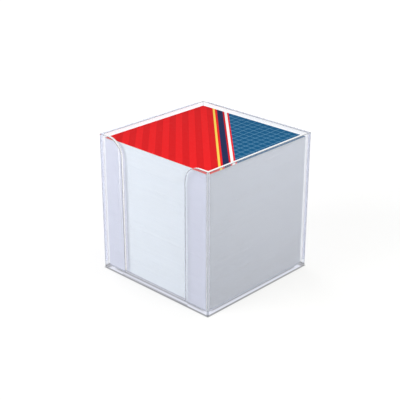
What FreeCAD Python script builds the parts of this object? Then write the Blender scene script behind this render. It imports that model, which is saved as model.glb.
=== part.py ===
import FreeCAD, Part
import os

Vector = FreeCAD.Vector

# Driving sizes in millimetres

# Loose note sheets of the common 9 cm square format, piled in stacks of about a hundred
sheet_side = 90.0
sheet_thickness = 0.1
stack_count = 9

# Printed cover card, cut to the same square
card_thickness = 0.4

# Clear moulded box
box_height = 96.0
wall = 2.0
floor_thickness = 2.5
side_clearance = 1.0
rim_above_card = 2.5
outer_corner_radius = 0.5
inner_corner_radius = 0.4
foot_edge_radius = 0.4
rim_edge_radius = 0.25

# Finger slot in the front wall, open at the rim, with a strip of the wall left on each side of it
side_strip_width = 20.0
slot_sill = 1.0
slot_top_radius = 12.0
slot_foot_radius = 1.0

# Sizes that follow from the driving ones

inner_side = sheet_side + 2 * side_clearance
outer_side = inner_side + 2 * wall
slot_width = outer_side - 2 * side_strip_width
card_bottom = box_height - rim_above_card - card_thickness
top_sheet_bottom = card_bottom - sheet_thickness
stack_height = (top_sheet_bottom - floor_thickness) / stack_count
sill_height = floor_thickness + slot_sill
front_face = -outer_side / 2
same_place = 1e-4


def square_block(side, bottom, height):
    """Upright square block, centred on the Z axis."""
    corner = Vector(-side / 2, -side / 2, bottom)
    return Part.makeBox(side, side, height, corner)


def runs_along(edge, direction):
    """True for a straight edge that is parallel to a unit direction."""
    if not isinstance(edge.Curve, Part.Line):
        return False
    return abs(abs(edge.tangentAt(edge.FirstParameter).dot(direction)) - 1) < same_place


def round_edges(shape, radius, wanted):
    """Shape with a fillet on each edge that wanted() picks."""
    return shape.makeFillet(radius, [edge for edge in shape.Edges if wanted(edge)])


def upright(edge):
    return runs_along(edge, Vector(0, 0, 1))


def rounded_block(side, bottom, height, radius):
    """Upright square block with its four upright edges rounded."""
    return round_edges(square_block(side, bottom, height), radius, upright)


def slot_cutter():
    """Block that opens the front wall from the sill up past the rim, a wall's thickness clear each way."""
    corner = Vector(-slot_width / 2, front_face - wall, sill_height)
    return Part.makeBox(slot_width, 3 * wall, box_height, corner)


def at_height(edge, height):
    """True if the whole edge lies in the level plane at this height."""
    return all(abs(z - height) < same_place for z in (edge.BoundBox.ZMin, edge.BoundBox.ZMax))


def on_upright_plane(edge, depth):
    """True if the whole edge lies in the upright plane at this Y."""
    return all(abs(y - depth) < same_place for y in (edge.BoundBox.YMin, edge.BoundBox.YMax))


def through_front_wall(edge):
    """True for a straight edge that runs from the front wall's outer face to its inner face."""
    ends_in_wall = edge.BoundBox.YMax < front_face + wall + same_place
    return ends_in_wall and runs_along(edge, Vector(0, 1, 0))


def slot_corner(edge, height):
    """True for an edge at one of the slot's corners, at this height."""
    return through_front_wall(edge) and at_height(edge, height)


def on_mouth(edge):
    """True for the edges of the rim and of the slot, on the outer and the inner side of the wall."""
    if through_front_wall(edge):
        return False
    if at_height(edge, box_height):
        return True
    on_wall = any(on_upright_plane(edge, depth) for depth in (front_face, front_face + wall))
    over_sill = edge.BoundBox.ZMin > sill_height - same_place
    return on_wall and over_sill and abs(edge.CenterOfMass.x) < slot_width / 2 + slot_top_radius


def clear_box():
    """Open box with a flat floor, and the slot in its front wall."""
    shell = rounded_block(outer_side, 0, box_height, outer_corner_radius)
    shell = round_edges(shell, foot_edge_radius, lambda edge: at_height(edge, 0))
    hollow = rounded_block(inner_side, floor_thickness, box_height, inner_corner_radius)
    shell = shell.cut(hollow).cut(slot_cutter())
    shell = round_edges(shell, slot_top_radius, lambda edge: slot_corner(edge, box_height))
    shell = round_edges(shell, slot_foot_radius, lambda edge: slot_corner(edge, sill_height))
    return round_edges(shell, rim_edge_radius, on_mouth)


def sheet_stack(number):
    """Stack of loose sheets, counted from 1 at the floor."""
    bottom = floor_thickness + (number - 1) * stack_height
    return square_block(sheet_side, bottom, stack_height)


def top_sheet():
    """The sheet that is taken next."""
    return square_block(sheet_side, top_sheet_bottom, sheet_thickness)


def cover_card():
    """Card that lies on the sheets, below the rim."""
    return square_block(sheet_side, card_bottom, card_thickness)


pieces = {"clear_box": clear_box()}
for number in range(1, stack_count + 1):
    pieces[f"sheet_stack_{number}"] = sheet_stack(number)
pieces["top_sheet"] = top_sheet()
pieces["cover_card"] = cover_card()

os.makedirs("parts", exist_ok=True)
for name, shape in pieces.items():
    shape.exportStep(f"parts/{name}.step")
    print(name, "valid", shape.isValid(), "solids", len(shape.Solids), "volume", round(shape.Volume, 1))
print("box", outer_side, "square and", box_height, "high")
print("sheets in a stack, about", round(stack_height / sheet_thickness))
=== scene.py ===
import math
import random

import bmesh
import bpy
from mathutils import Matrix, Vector


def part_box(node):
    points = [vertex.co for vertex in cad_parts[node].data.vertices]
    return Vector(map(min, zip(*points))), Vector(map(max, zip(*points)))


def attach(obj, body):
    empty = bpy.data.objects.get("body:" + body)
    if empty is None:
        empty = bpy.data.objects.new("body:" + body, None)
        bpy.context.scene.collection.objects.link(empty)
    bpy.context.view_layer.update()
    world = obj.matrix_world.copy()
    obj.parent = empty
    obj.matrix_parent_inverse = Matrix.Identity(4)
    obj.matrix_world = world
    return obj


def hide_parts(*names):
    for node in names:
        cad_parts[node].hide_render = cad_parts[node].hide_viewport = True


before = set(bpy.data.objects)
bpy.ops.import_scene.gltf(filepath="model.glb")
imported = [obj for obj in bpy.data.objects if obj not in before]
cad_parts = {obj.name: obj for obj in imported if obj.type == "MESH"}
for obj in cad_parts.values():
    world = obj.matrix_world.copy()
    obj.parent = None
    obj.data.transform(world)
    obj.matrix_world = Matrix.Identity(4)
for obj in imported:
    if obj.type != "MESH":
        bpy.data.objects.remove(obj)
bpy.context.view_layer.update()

# Clear box
# One moulding in clear polystyrene: a flat floor, four straight walls and an open top. The front wall has a
# finger slot from the rim down to a low sill, with a shallow step round it where the mould's slide shut.

box_low, box_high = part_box("clear_box")
wall = 0.002
floor_thickness = 0.0025
upright_radius = 0.0005
inside_radius = 0.0004
foot_radius = 0.0004
rim_radius = 0.00025
side_strip_width = 0.020
slot_sill = 0.001
slot_top_radius = 0.012
slot_foot_radius = 0.001
step_width = 0.0022
step_depth = 0.0004
painted_shade_corner_band = 0.001
painted_shade_floor_border = 0.002
same_place = 1e-5

half_box = box_high.x
half_inside = half_box - wall
rim = box_high.z
sill = floor_thickness + slot_sill
half_slot = half_box - side_strip_width
half_step = half_slot + step_width
step_foot = sill - step_width

polystyrene_index = 1.59
clear_tint = (0.92, 0.93, 0.965, 1)
# The edge tint is painted shade: it turns the rounded edges into dark lines that stand in for light caught
# inside the plastic, and as their cast tint it paints thin shadow lines behind them.
edge_painted_shade_tint = (0.10, 0.105, 0.11, 1)
# The corner tint is painted shade that darkens the outer uprights into dark lines, and also the inner floor's
# border at the foot of the sheets.
corner_painted_shade_tint = (0.32, 0.35, 0.41, 1)
# The slot tint is a milder painted shade that dims the slot's faces through the wall and the inner uprights.
slot_painted_shade_tint = (0.72, 0.73, 0.75, 1)
inner_tint = (0.97, 0.97, 0.98, 1)
shade_tint = (0.92, 0.905, 0.94, 1)


def start_nodes(owner):
    """Empties a material's or world's node tree and gives the function that adds nodes to it."""
    owner.use_nodes = True
    nodes, links = owner.node_tree.nodes, owner.node_tree.links
    nodes.clear()

    def add(kind, values=(), **settings):
        """New node: values go on its inputs by name or number, sockets as links and the rest as they are."""
        node = nodes.new("ShaderNode" + kind)
        for key, value in settings.items():
            setattr(node, key, value)
        for key, value in dict(values).items():
            if isinstance(value, bpy.types.NodeSocket):
                links.new(value, node.inputs[key])
            else:
                node.inputs[key].default_value = value
        return node

    return add


def ramp(add, value, start, end, low=0.0, high=1.0):
    """Goes from low to high as the value goes from start to end, and no further."""
    limits = {"From Min": start, "From Max": end, "To Min": low, "To Max": high}
    return add("MapRange", {"Value": value, **limits}).outputs["Result"]


def swap_for_rays(add, rays, usual, instead):
    """Shader with another in its place for the rays of one kind."""
    return add("MixShader", {0: rays, 1: usual, 2: instead}).outputs[0]


def clear_polystyrene(name, tint, cast_tint, polished=True):
    """Clear plastic with faint smudges and waves. Light goes straight through it to what lies behind, and an
    inner reflection leaves it at the next face. An unpolished face also passes the light from inside."""
    material = bpy.data.materials.new(name)
    add = start_nodes(material)
    place = add("TexCoord").outputs["Object"]
    smudges = add("TexNoise", {"Vector": place, "Scale": 55, "Detail": 4, "Roughness": 0.6})
    gloss = ramp(add, smudges.outputs["Fac"], start=0.35, end=0.75, low=0.01, high=0.05)
    waves = add("TexNoise", {"Vector": place, "Scale": 30, "Detail": 1})
    bump = add("Bump", {"Height": waves.outputs["Fac"], "Strength": 0.1, "Distance": 0.0005})
    plastic = add("BsdfPrincipled", {"Base Color": tint, "Roughness": gloss, "IOR": polystyrene_index,
                                     "Transmission Weight": 1.0, "Normal": bump.outputs[0]})
    see_through = add("BsdfTransparent", {"Color": cast_tint}).outputs[0]
    inner_light = add("BsdfTransparent", {"Color": inner_tint}).outputs[0]
    path = add("LightPath").outputs
    surface = swap_for_rays(add, path["Is Reflection Ray"], plastic.outputs[0], inner_light)
    if not polished:
        surface = swap_for_rays(add, path["Is Transmission Ray"], surface, see_through)
    surface = swap_for_rays(add, path["Is Diffuse Ray"], surface, see_through)
    surface = swap_for_rays(add, path["Is Shadow Ray"], surface, see_through)
    add("OutputMaterial", {"Surface": surface})
    return material


# The rounded edges, the box's corners and the slot's faces carry painted shade in their tints.
box_finishes = [clear_polystyrene("polished_walls", clear_tint, shade_tint),
                clear_polystyrene("moulded_underside", clear_tint, shade_tint, polished=False),
                clear_polystyrene("rounded_edges_painted_shade", edge_painted_shade_tint, edge_painted_shade_tint),
                clear_polystyrene("box_corners_painted_shade", corner_painted_shade_tint, shade_tint),
                clear_polystyrene("slot_faces_painted_shade", slot_painted_shade_tint, shade_tint)]
wall_finish = 0
underside_finish = 1
painted_shade_edge_finish = 2
painted_shade_corner_finish = 3
painted_shade_slot_finish = 4


def start_from_cube(name, low, high):
    """New block between two corners, with its place in its mesh, alone selected and in edit mode."""
    if bpy.context.object and bpy.context.object.mode != "OBJECT":
        bpy.ops.object.mode_set(mode="OBJECT")
    bpy.ops.object.select_all(action="DESELECT")
    bpy.ops.mesh.primitive_cube_add(size=1, location=(low + high) / 2, scale=high - low)
    bpy.ops.object.transform_apply(location=True, rotation=True, scale=True)
    block = bpy.context.object
    block.name = name
    block.data.name = name
    bpy.ops.object.mode_set(mode="EDIT")
    return block


def pick_faces(wanted):
    """Selects only the faces of the edited mesh that wanted() takes."""
    bpy.ops.mesh.select_mode(type="FACE")
    mesh = bmesh.from_edit_mesh(bpy.context.object.data)
    for face in mesh.faces:
        face.select_set(wanted(face))
    mesh.select_flush_mode()
    bmesh.update_edit_mesh(bpy.context.object.data)


def pick_edges(wanted):
    """Selects only the edges of the edited mesh that wanted() takes, given their two ends."""
    bpy.ops.mesh.select_mode(type="EDGE")
    mesh = bmesh.from_edit_mesh(bpy.context.object.data)
    for edge in mesh.edges:
        edge.select_set(wanted(edge.verts[0].co, edge.verts[1].co))
    mesh.select_flush_mode()
    bmesh.update_edit_mesh(bpy.context.object.data)


round_profile = 0.5
square_profile = 1.0
neighbour_finish = -1


def round_picked(radius, segments, finish=neighbour_finish, profile=round_profile):
    """Rounds the selected edges, with new faces of one finish. The square profile leaves them sharp and only
    marks off a band along each side."""
    bpy.ops.mesh.bevel(offset=radius, segments=segments, affect="EDGES", clamp_overlap=False, material=finish,
                       profile=profile)


# Share of a face's normal along an axis: the least for a face square on to it, the most for one edge on.
square_on = 0.99
edge_on = 0.1


def near(a, b):
    return abs(a - b) < same_place


def upright_at(reach):
    """Picks the upright edges whose X and Y both lie this far from the middle."""
    def wanted(a, b):
        at_corner = all(near(abs(end.x), reach) and near(abs(end.y), reach) for end in (a, b))
        return at_corner and not near(a.z, b.z)

    return wanted


def through_wall_at(height):
    """Picks the edges that run through the front wall at the slot's sides, at this height."""
    def wanted(a, b):
        at_slot_side = all(near(abs(end.x), half_slot) and near(end.z, height) for end in (a, b))
        return at_slot_side and not near(a.y, b.y)

    return wanted


def on_front(face):
    """True for a face that lies in the front wall's outer face."""
    return face.normal.y < -square_on and near(face.calc_center_median().y, -half_box)


def inside_step(point, margin):
    """True for a point inside the outline of the step round the slot, by at least a margin."""
    return abs(point.x) < half_step - margin and point.z > step_foot + margin


def on_step_line(a, b):
    """True for an edge of the front wall's outer face that lies on the outline of the step."""
    on_side = near(abs(a.x), half_step) and near(a.x, b.x) and min(a.z, b.z) > step_foot - same_place
    within = max(abs(a.x), abs(b.x)) < half_step + same_place
    on_foot = near(a.z, step_foot) and near(b.z, step_foot) and within
    return near(a.y, -half_box) and near(b.y, -half_box) and (on_side or on_foot)


def in_slot_wall(point):
    """True for a point within the front wall's thickness at the slot."""
    at_slot = abs(point.x) < half_slot + slot_top_radius and point.z > step_foot
    return at_slot and -half_box < point.y < -half_inside


def on_painted_shade_floor_border(point):
    """True for a point of the inner floor that lies close to a wall, in the border that gets painted shade.
    """
    return near(point.z, floor_thickness) and max(abs(point.x), abs(point.y)) > half_inside - painted_shade_floor_border


def apply_modifier(piece, kind, **settings):
    """Gives the active piece a modifier with these settings and applies it."""
    modifier = piece.modifiers.new(kind.lower(), kind)
    for name, value in settings.items():
        setattr(modifier, name, value)
    bpy.ops.object.modifier_apply(modifier=modifier.name)


slot_low = Vector((-half_slot, -half_box - wall, sill))
slot_high = Vector((half_slot, -half_inside + wall, rim + wall))
slot_cutter = start_from_cube("slot_cutter", slot_low, slot_high)
pick_edges(through_wall_at(sill))
round_picked(slot_foot_radius, segments=6)

clear_box = start_from_cube("clear_box_moulding", box_low, box_high)
for finish in box_finishes:
    clear_box.data.materials.append(finish)
pick_faces(lambda face: face.normal.z > square_on)
bpy.ops.mesh.inset(thickness=wall)
bpy.ops.mesh.extrude_region_move(TRANSFORM_OT_translate={"value": (0, 0, floor_thickness - rim)})
# An inset marks off the inner floor's border, which gets painted shade at the foot of the sheets.
bpy.ops.mesh.inset(thickness=painted_shade_floor_border)
# Each upright gets a flat band and a rounding in painted shade: the outer ones in the corner finish, the
# inner ones in the slot's milder one.
for reach, radius, segments, finish in ((half_box, upright_radius, 6, painted_shade_corner_finish),
                                        (half_inside, inside_radius, 3, painted_shade_slot_finish)):
    pick_edges(upright_at(reach))
    round_picked(painted_shade_corner_band, segments=2, finish=finish, profile=square_profile)
    pick_edges(upright_at(reach))
    round_picked(radius, segments, finish)
# The foot is rounded in the edge finish, a painted dark line along its edge.
pick_edges(lambda a, b: near(a.z, 0) and near(b.z, 0))
round_picked(foot_radius, segments=3, finish=painted_shade_edge_finish)
bpy.ops.object.mode_set(mode="OBJECT")
apply_modifier(clear_box, "BOOLEAN", object=slot_cutter, operation="DIFFERENCE", solver="EXACT")
bpy.data.objects.remove(slot_cutter)
bpy.ops.object.mode_set(mode="EDIT")
pick_edges(through_wall_at(rim))
round_picked(slot_top_radius, segments=16)

for side in (-1, 1):
    pick_faces(on_front)
    bpy.ops.mesh.bisect(plane_co=(side * half_step, 0, 0), plane_no=(1, 0, 0))
pick_faces(lambda face: on_front(face) and all(abs(v.co.x) < half_step + same_place for v in face.verts))
bpy.ops.mesh.bisect(plane_co=(0, 0, step_foot), plane_no=(0, 0, 1))
pick_edges(on_step_line)
round_picked(step_depth / 2, segments=1)
pick_faces(lambda face: on_front(face) and all(inside_step(v.co, step_depth / 4) for v in face.verts))
bpy.ops.transform.translate(value=(0, step_depth, 0))
bpy.ops.object.mode_set(mode="OBJECT")

sharp_edge = math.radians(50)
smooth_edge = math.radians(40)
# The other sharp edges are rounded in the edge finish as painted dark lines; the rim's flat tops go back to
# the wall finish below.
apply_modifier(clear_box, "BEVEL", width=rim_radius, segments=2, limit_method="ANGLE", angle_limit=sharp_edge,
               material=painted_shade_edge_finish, use_clamp_overlap=False)
bpy.ops.object.shade_smooth_by_angle(angle=smooth_edge)
apply_modifier(clear_box, "WEIGHTED_NORMAL", keep_sharp=True)
for polygon in clear_box.data.polygons:
    if polygon.normal.z > square_on and near(polygon.center.z, rim):
        polygon.material_index = wall_finish
    if polygon.normal.z < -square_on and near(polygon.center.z, 0):
        polygon.material_index = underside_finish
    # The inner floor's border takes the corner finish: painted shade where the sheets meet the floor.
    if on_painted_shade_floor_border(polygon.center):
        polygon.material_index = painted_shade_corner_finish
    # The slot's faces through the wall and those below the sill take the slot's painted shade.
    if in_slot_wall(polygon.center) and (abs(polygon.normal.y) < edge_on or polygon.center.z < sill):
        polygon.material_index = painted_shade_slot_finish
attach(clear_box, "box")
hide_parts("clear_box")

# Note sheets
# Loose white sheets of 80 g paper, guillotined square and dropped into the box as a pile. Nothing binds them,
# so each lies a hair out of line with the next.

paper_white = (0.83, 0.875, 0.935, 1)
paper_shadow = (0.80, 0.845, 0.91, 1)
sheet_gap = 0.000008
sheet_edge = 0.000015
sheets_in_stack = 100
largest_slip = 0.00008
largest_turn = math.radians(0.05)
pile_lean = Vector((-0.0005, 0.0005, 0))


def maths(add, operation, *values):
    """Result of a math node on one or two values."""
    return add("Math", dict(enumerate(values)), operation=operation).outputs[0]


# Numbers of a Mix node's colour sockets, whose names its other sockets share.
mix_first = 6
mix_second = 7
mix_result = 2


def blend(add, amount, first, second):
    """Colour that goes from the first to the second as the amount goes from 0 to 1."""
    values = {"Factor": amount, mix_first: first, mix_second: second}
    return add("Mix", values, data_type="RGBA").outputs[mix_result]


note_paper = bpy.data.materials.new("note_paper")
add = start_nodes(note_paper)
place = add("TexCoord").outputs["Object"]
fibres = add("TexNoise", {"Vector": place, "Scale": 900, "Detail": 3, "Roughness": 0.6})
layers = add("Mapping", {"Vector": place, "Scale": (8, 8, 1400)})
cut_edges = add("TexNoise", {"Vector": layers.outputs[0], "Scale": 1, "Detail": 2})
mottle = maths(add, "MULTIPLY", fibres.outputs["Fac"], cut_edges.outputs["Fac"])
colour = blend(add, ramp(add, mottle, start=0.1, end=0.45), paper_shadow, paper_white)
bump = add("Bump", {"Height": fibres.outputs["Fac"], "Strength": 0.15, "Distance": 0.00005})
paper = add("BsdfPrincipled", {"Base Color": colour, "Roughness": 0.9, "Specular IOR Level": 0.3,
                               "Normal": bump.outputs[0]})
add("OutputMaterial", {"Surface": paper.outputs[0]})

slip_seed = 41
slips = random.Random(slip_seed)


def one_sheet(name, low, high):
    """One sheet with blunt cut edges and half a gap under and over it, pushed a little to the back left."""
    half_gap = Vector((0, 0, sheet_gap / 2))
    sheet = start_from_cube(name, low + half_gap + pile_lean, high - half_gap + pile_lean)
    pick_edges(lambda a, b: near(a.z, b.z))
    round_picked(sheet_edge, segments=1)
    bpy.ops.object.mode_set(mode="OBJECT")
    return sheet


def nudge_sheets(stack, low, pitch):
    """Moves and turns each sheet of a stack a little, all its corners together."""
    moves = [[slips.uniform(-1, 1) for _ in ("along", "across", "turn")] for _ in range(sheets_in_stack)]
    for corner in stack.data.vertices:
        along, across, turn = moves[min(int((corner.co.z - low.z) / pitch), sheets_in_stack - 1)]
        x, y = corner.co.x, corner.co.y
        corner.co.x += along * largest_slip - turn * largest_turn * y
        corner.co.y += across * largest_slip + turn * largest_turn * x


stack_nodes = sorted(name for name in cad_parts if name.startswith("sheet_stack_"))
for node in stack_nodes:
    low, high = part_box(node)
    pitch = (high.z - low.z) / sheets_in_stack
    stack = one_sheet(node + "_sheets", low, Vector((high.x, high.y, low.z + pitch)))
    apply_modifier(stack, "ARRAY", count=sheets_in_stack, use_relative_offset=False, use_constant_offset=True,
                   constant_offset_displace=(0, 0, pitch))
    nudge_sheets(stack, low, pitch)
    stack.data.materials.append(note_paper)
    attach(stack, node)
    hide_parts(node)

low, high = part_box("top_sheet")
top_sheet = one_sheet("top_note_sheet", low, high)
top_sheet.data.materials.append(note_paper)
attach(top_sheet, "top_sheet")
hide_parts("top_sheet")

# Cover card
# One square of coated white card that lies loose on the sheets. Its upper face is printed in flat inks under
# a satin varnish, and its cut edges and underside show the bare board.

card_low, card_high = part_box("cover_card")
card_edge = 0.00004
board_white = (0.85, 0.86, 0.86, 1)
board_shadow = (0.80, 0.81, 0.81, 1)
board_finish = 0
print_finish = 1
faces_up = 0.5

cover_card = start_from_cube("cover_card_board", card_low, card_high)
pick_edges(lambda a, b: near(a.z, card_high.z) and near(b.z, card_high.z))
round_picked(card_edge, segments=2)
bpy.ops.object.mode_set(mode="OBJECT")

bare_board = bpy.data.materials.new("bare_board")
add = start_nodes(bare_board)
place = add("TexCoord").outputs["Object"]
fibres = add("TexNoise", {"Vector": place, "Scale": 1200, "Detail": 3})
tone = blend(add, fibres.outputs["Fac"], board_shadow, board_white)
board = add("BsdfPrincipled", {"Base Color": tone, "Roughness": 0.85})
add("OutputMaterial", {"Surface": board.outputs[0]})

# The print is red in two tones, with a corner of blue squares and three stripes along the corner's border.
# The tones, the border and the stripes all run the same way, at values of X + Y.
print_red = (0.76, 0.014, 0.017, 1)
print_deep_red = (0.64, 0.010, 0.013, 1)
print_blue = (0.004, 0.085, 0.21, 1)
print_pale_blue = (0.12, 0.29, 0.44, 1)
print_white = (0.88, 0.89, 0.90, 1)
print_navy = (0.012, 0.02, 0.075, 1)
print_yellow = (0.86, 0.62, 0.10, 1)
tone_pitch = 0.012
square_pitch = 0.005
square_line = 0.0002
blue_part = (0.024, 0.2)
stripes = [((0.020, 0.0225), print_white), ((0.013, 0.0185), print_navy), ((0.009, 0.011), print_yellow)]


def band(add, value, low, high):
    """1 where the value lies between two others, and 0 elsewhere."""
    above = maths(add, "GREATER_THAN", value, low)
    below = maths(add, "LESS_THAN", value, high)
    return maths(add, "MULTIPLY", above, below)


def off_step(add, value, pitch):
    """Distance from the nearest whole multiple of a pitch."""
    return maths(add, "PINGPONG", value, pitch / 2)


printed = bpy.data.materials.new("printed_card")
add = start_nodes(printed)
place = add("TexCoord").outputs["Object"]
axes = add("SeparateXYZ", {0: place}).outputs
diagonal = maths(add, "ADD", axes["X"], axes["Y"])
tones = maths(add, "GREATER_THAN", off_step(add, diagonal, tone_pitch), tone_pitch / 4)
off_in_x = off_step(add, axes["X"], square_pitch)
off_in_y = off_step(add, axes["Y"], square_pitch)
off_line = maths(add, "MINIMUM", off_in_x, off_in_y)
in_blue = band(add, diagonal, *blue_part)
squares = maths(add, "MULTIPLY", maths(add, "LESS_THAN", off_line, square_line), in_blue)
ink = blend(add, tones, print_red, print_deep_red)
ink = blend(add, in_blue, ink, print_blue)
ink = blend(add, squares, ink, print_pale_blue)
for ends, stripe_ink in stripes:
    ink = blend(add, band(add, diagonal, *ends), ink, stripe_ink)
varnish = add("TexNoise", {"Vector": place, "Scale": 300, "Detail": 2})
sheen = ramp(add, varnish.outputs["Fac"], start=0, end=1, low=0.45, high=0.6)
face = add("BsdfPrincipled", {"Base Color": ink, "Roughness": sheen, "Specular IOR Level": 0.02})
add("OutputMaterial", {"Surface": face.outputs[0]})

cover_card.data.materials.append(bare_board)
cover_card.data.materials.append(printed)
for polygon in cover_card.data.polygons:
    polygon.material_index = print_finish if polygon.normal.z > faces_up else board_finish
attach(cover_card, "cover_card")
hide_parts("cover_card")

# Studio floor and light
# A white floor and surround, with soft boxes on four sides and the strongest at the front left. The floor
# sends no light up to the box. Under the clear foot it glows with painted light in a ring by the border,
# which stands in for light carried through the foot, and with painted shade within it and in a thin painted
# contact shadow just outside it.

white = (1, 1, 1, 1)
black = (0, 0, 0, 1)
floor_grey = (0.25, 0.25, 0.25, 1)
# The glow under the foot has a painted cool tint, the colour of light seen through the clear plastic.
painted_foot_light_tint = (0.90, 0.94, 1.0, 1)
floor_drop = 0.0001
floor_reach = 3.0
painted_contact_shadow_reach = 0.0008
# Painted light and shade under the clear foot: a glowing ring by the border stands in for light carried
# through the foot, and the dim glow within it and at the border is painted shade, paler again in the middle.
painted_light_ring_starts = (0.0015, 0.0035)
painted_light_ring_ends = (0.006, 0.010)
middle_starts = (0.011, 0.026)
middle_share = 0.6
painted_shade_glow = 0.18
painted_light_ring_glow = 0.85
clear_of_box = 0.25
far_from_box = 0.6
near_glow = 0.73
far_glow = 1.0
room_light = 0.2


def seen_rays(add, path):
    """1 for the rays that show a thing, straight, mirrored or through the plastic, and 0 for the rest."""
    straight_or_mirrored = maths(add, "MAXIMUM", path["Is Camera Ray"], path["Is Glossy Ray"])
    return maths(add, "MAXIMUM", straight_or_mirrored, path["Is Transmission Ray"])


bpy.ops.object.select_all(action="DESELECT")
bpy.ops.mesh.primitive_plane_add(size=floor_reach, location=(0, 0, -floor_drop))
studio_floor = bpy.context.object
studio_floor.name = "studio_floor"
floor_white = bpy.data.materials.new("studio_white")
add = start_nodes(floor_white)
place = add("TexCoord").outputs["Object"]
axes = add("SeparateXYZ", {0: place}).outputs
# Under the foot the glow is painted light in a ring by the border and painted shade within it.
reach = maths(add, "MAXIMUM", maths(add, "ABSOLUTE", axes["X"]), maths(add, "ABSOLUTE", axes["Y"]))
inward = maths(add, "SUBTRACT", half_box, reach)
ring = maths(add, "MULTIPLY", ramp(add, inward, *painted_light_ring_starts), ramp(add, inward, *painted_light_ring_ends, low=1, high=0))
lit = maths(add, "MAXIMUM", ring, ramp(add, inward, *middle_starts, high=middle_share))
under = ramp(add, lit, start=0, end=1, low=painted_shade_glow, high=painted_light_ring_glow)
distance = add("VectorMath", {0: place}, operation="LENGTH").outputs["Value"]
around = ramp(add, distance, clear_of_box, far_from_box, near_glow, far_glow)
# Just outside the foot the glow falls to the dim glow of the footprint: a painted contact shadow.
outside = ramp(add, inward, start=0, end=-painted_contact_shadow_reach)
glow = ramp(add, outside, start=0, end=1, low=under, high=around)
path = add("LightPath").outputs
strength = maths(add, "MULTIPLY", seen_rays(add, path), glow)
light = add("Emission", {"Color": blend(add, outside, painted_foot_light_tint, white), "Strength": strength})
matt = add("BsdfDiffuse", {"Color": floor_grey})
both = add("AddShader", {0: matt.outputs[0], 1: light.outputs[0]})
dark = add("BsdfDiffuse", {"Color": black})
surface = swap_for_rays(add, path["Is Diffuse Ray"], both.outputs[0], dark.outputs[0])
add("OutputMaterial", {"Surface": surface})
studio_floor.data.materials.append(floor_white)

world = bpy.data.worlds.new("studio")
bpy.context.scene.world = world
add = start_nodes(world)
seen = seen_rays(add, add("LightPath").outputs)
strength = ramp(add, seen, start=0, end=1, low=room_light, high=1)
surround = add("Background", {"Color": white, "Strength": strength})
add("OutputWorld", {"Surface": surround.outputs[0]})


def soft_box(name, place, size, power, colour=(1, 1, 1)):
    """Square area lamp that faces the object's middle and isn't seen in the clear walls or through them."""
    bpy.ops.object.light_add(type="AREA", location=place)
    lamp = bpy.context.object
    lamp.name = name
    lamp.data.shape = "SQUARE"
    lamp.data.size = size
    lamp.data.energy = power
    lamp.data.color = colour
    lamp.visible_glossy = False
    lamp.visible_transmission = False
    aim = Vector((0, 0, rim / 2)) - Vector(place)
    lamp.rotation_mode = "QUATERNION"
    lamp.rotation_quaternion = aim.to_track_quat("-Z", "Y")


soft_box("front_lamp", place=(-0.25, -0.6, 0.35), size=0.5, power=5.4)
soft_box("right_lamp", place=(0.26, 0.0, 0.24), size=0.2, power=0.60, colour=(0.97, 0.99, 0.88))
soft_box("left_lamp", place=(-0.6, 0.2, 0.2), size=0.4, power=3.5)
soft_box("back_lamp", place=(0.15, 0.7, 0.2), size=0.4, power=3.7)

# Camera
# It stands to the right of the slot's wall and looks down a little, as in the photograph.

camera_azimuth = math.radians(43.9)
camera_elevation = math.radians(23.75)
camera_distance = 0.64046
camera_lens = 87.28
aim_right = -0.00349
aim_up = 0.00099

toward = Vector((math.sin(camera_azimuth) * math.cos(camera_elevation),
                 -math.cos(camera_azimuth) * math.cos(camera_elevation), math.sin(camera_elevation)))
rightward = Vector((math.cos(camera_azimuth), math.sin(camera_azimuth), 0))
aim = Vector((0, 0, rim / 2 + aim_up)) + rightward * aim_right
bpy.ops.object.camera_add(location=aim + toward * camera_distance)
camera = bpy.context.object
camera.data.lens = camera_lens
camera.data.sensor_width = 36.0
camera.data.clip_start = 0.01
camera.rotation_mode = "QUATERNION"
camera.rotation_quaternion = (-toward).to_track_quat("-Z", "Y")
bpy.context.scene.camera = camera
bpy.context.scene.view_settings.view_transform = "Standard"
